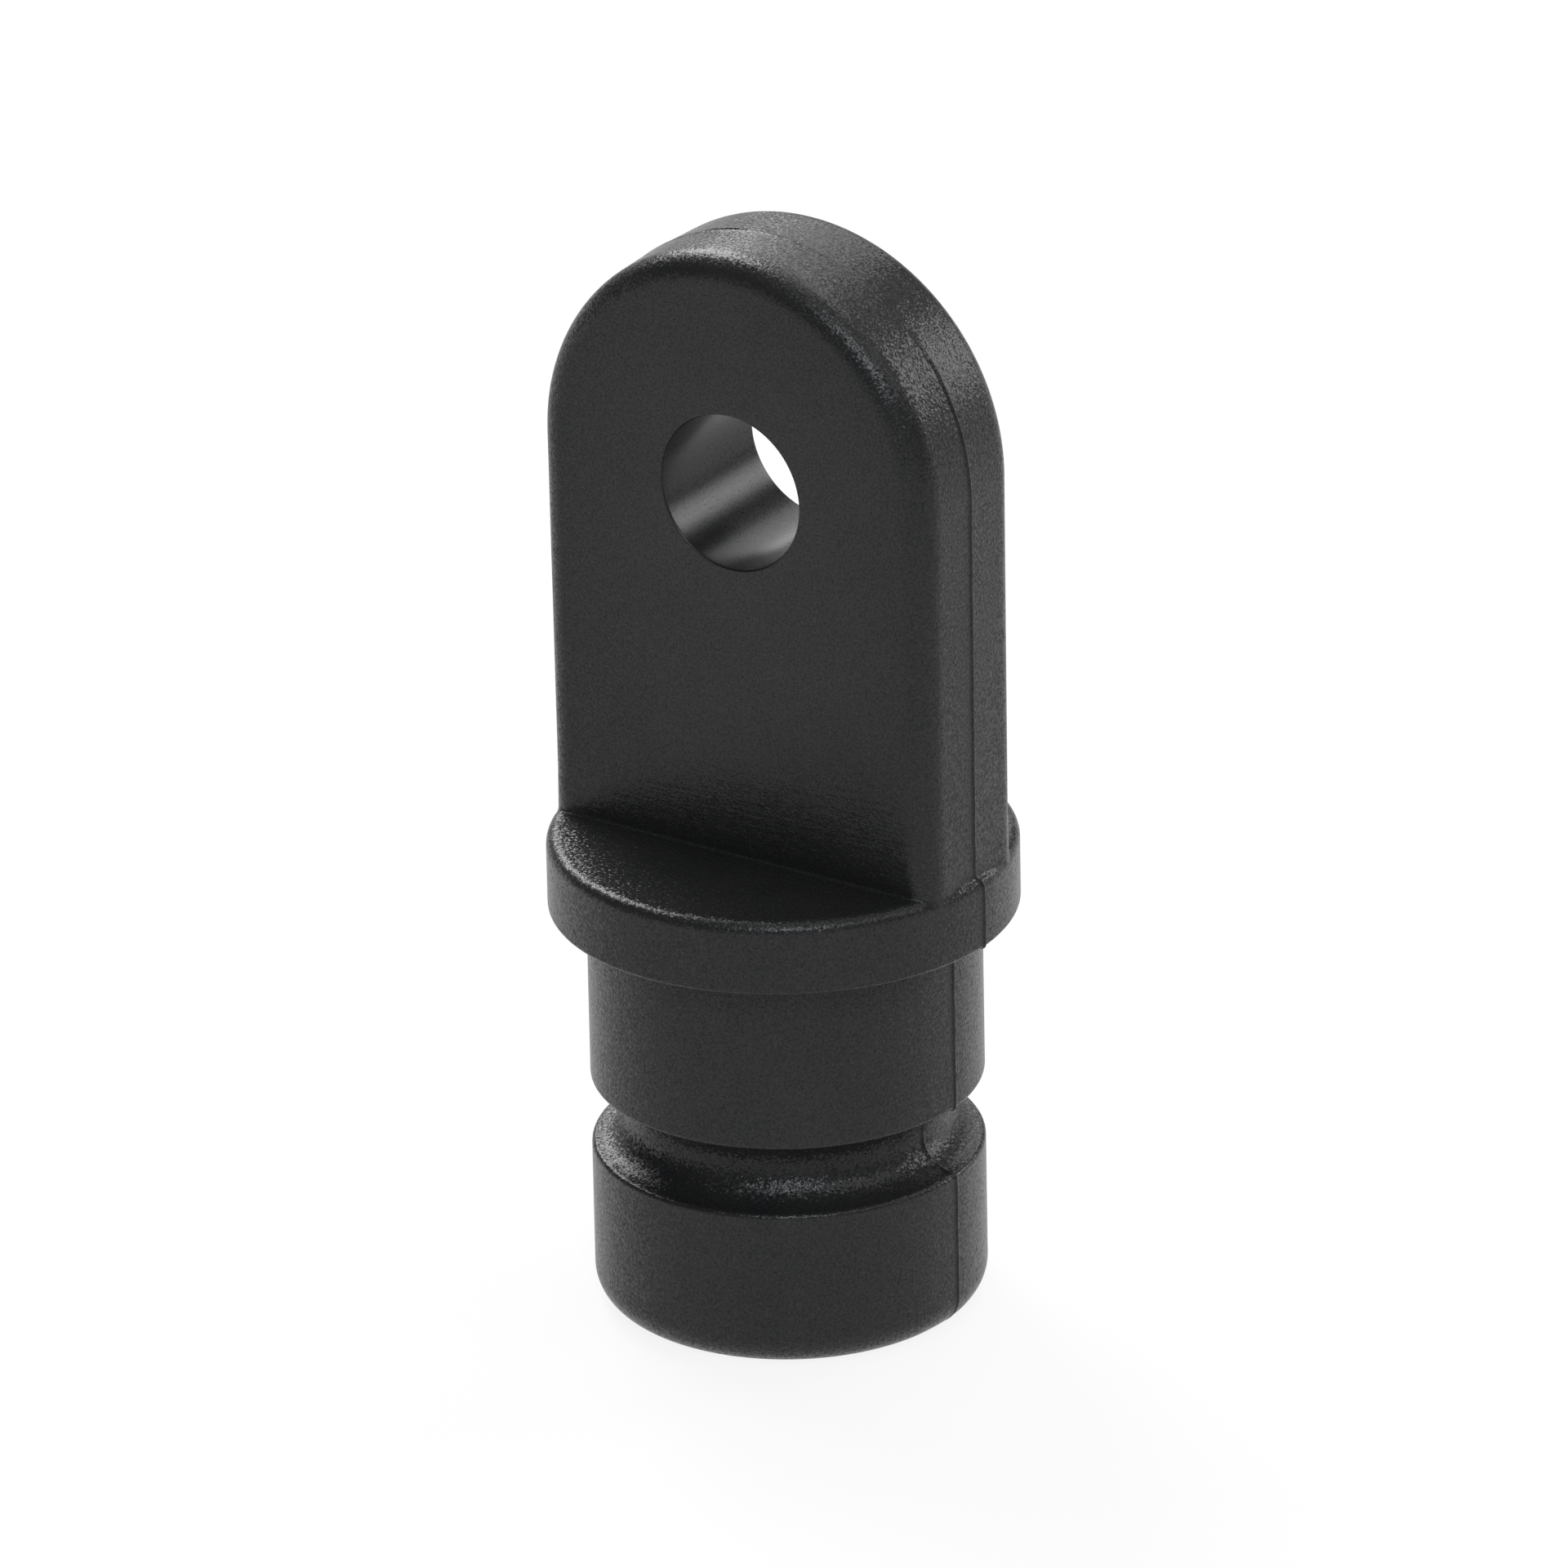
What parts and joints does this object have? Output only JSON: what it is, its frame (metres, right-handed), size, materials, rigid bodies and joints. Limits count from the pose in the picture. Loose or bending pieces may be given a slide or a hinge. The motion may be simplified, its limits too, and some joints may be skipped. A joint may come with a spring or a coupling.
{
  "type": "inside eye end for canopy tube",
  "caption": "Moulded plastic inside eye end for a boat-canopy tube: grooved round plug, collar that stops on the tube's end, and a flat tongue with a round bore.",
  "frame": {"origin": "centre of the shank's lower end, on the shank's axis", "axes": "+Z along the shank towards the eye; the eye's bore runs along Y; +X across the width of the tongue"},
  "size_m": [0.0222, 0.0222, 0.0536],
  "materials": {
    "nylon_black": "fine spark-eroded mould texture, satin"
  },
  "bodies": {
    "root": {"eye_end": "nylon_black"}
  },
  "joints": []
}
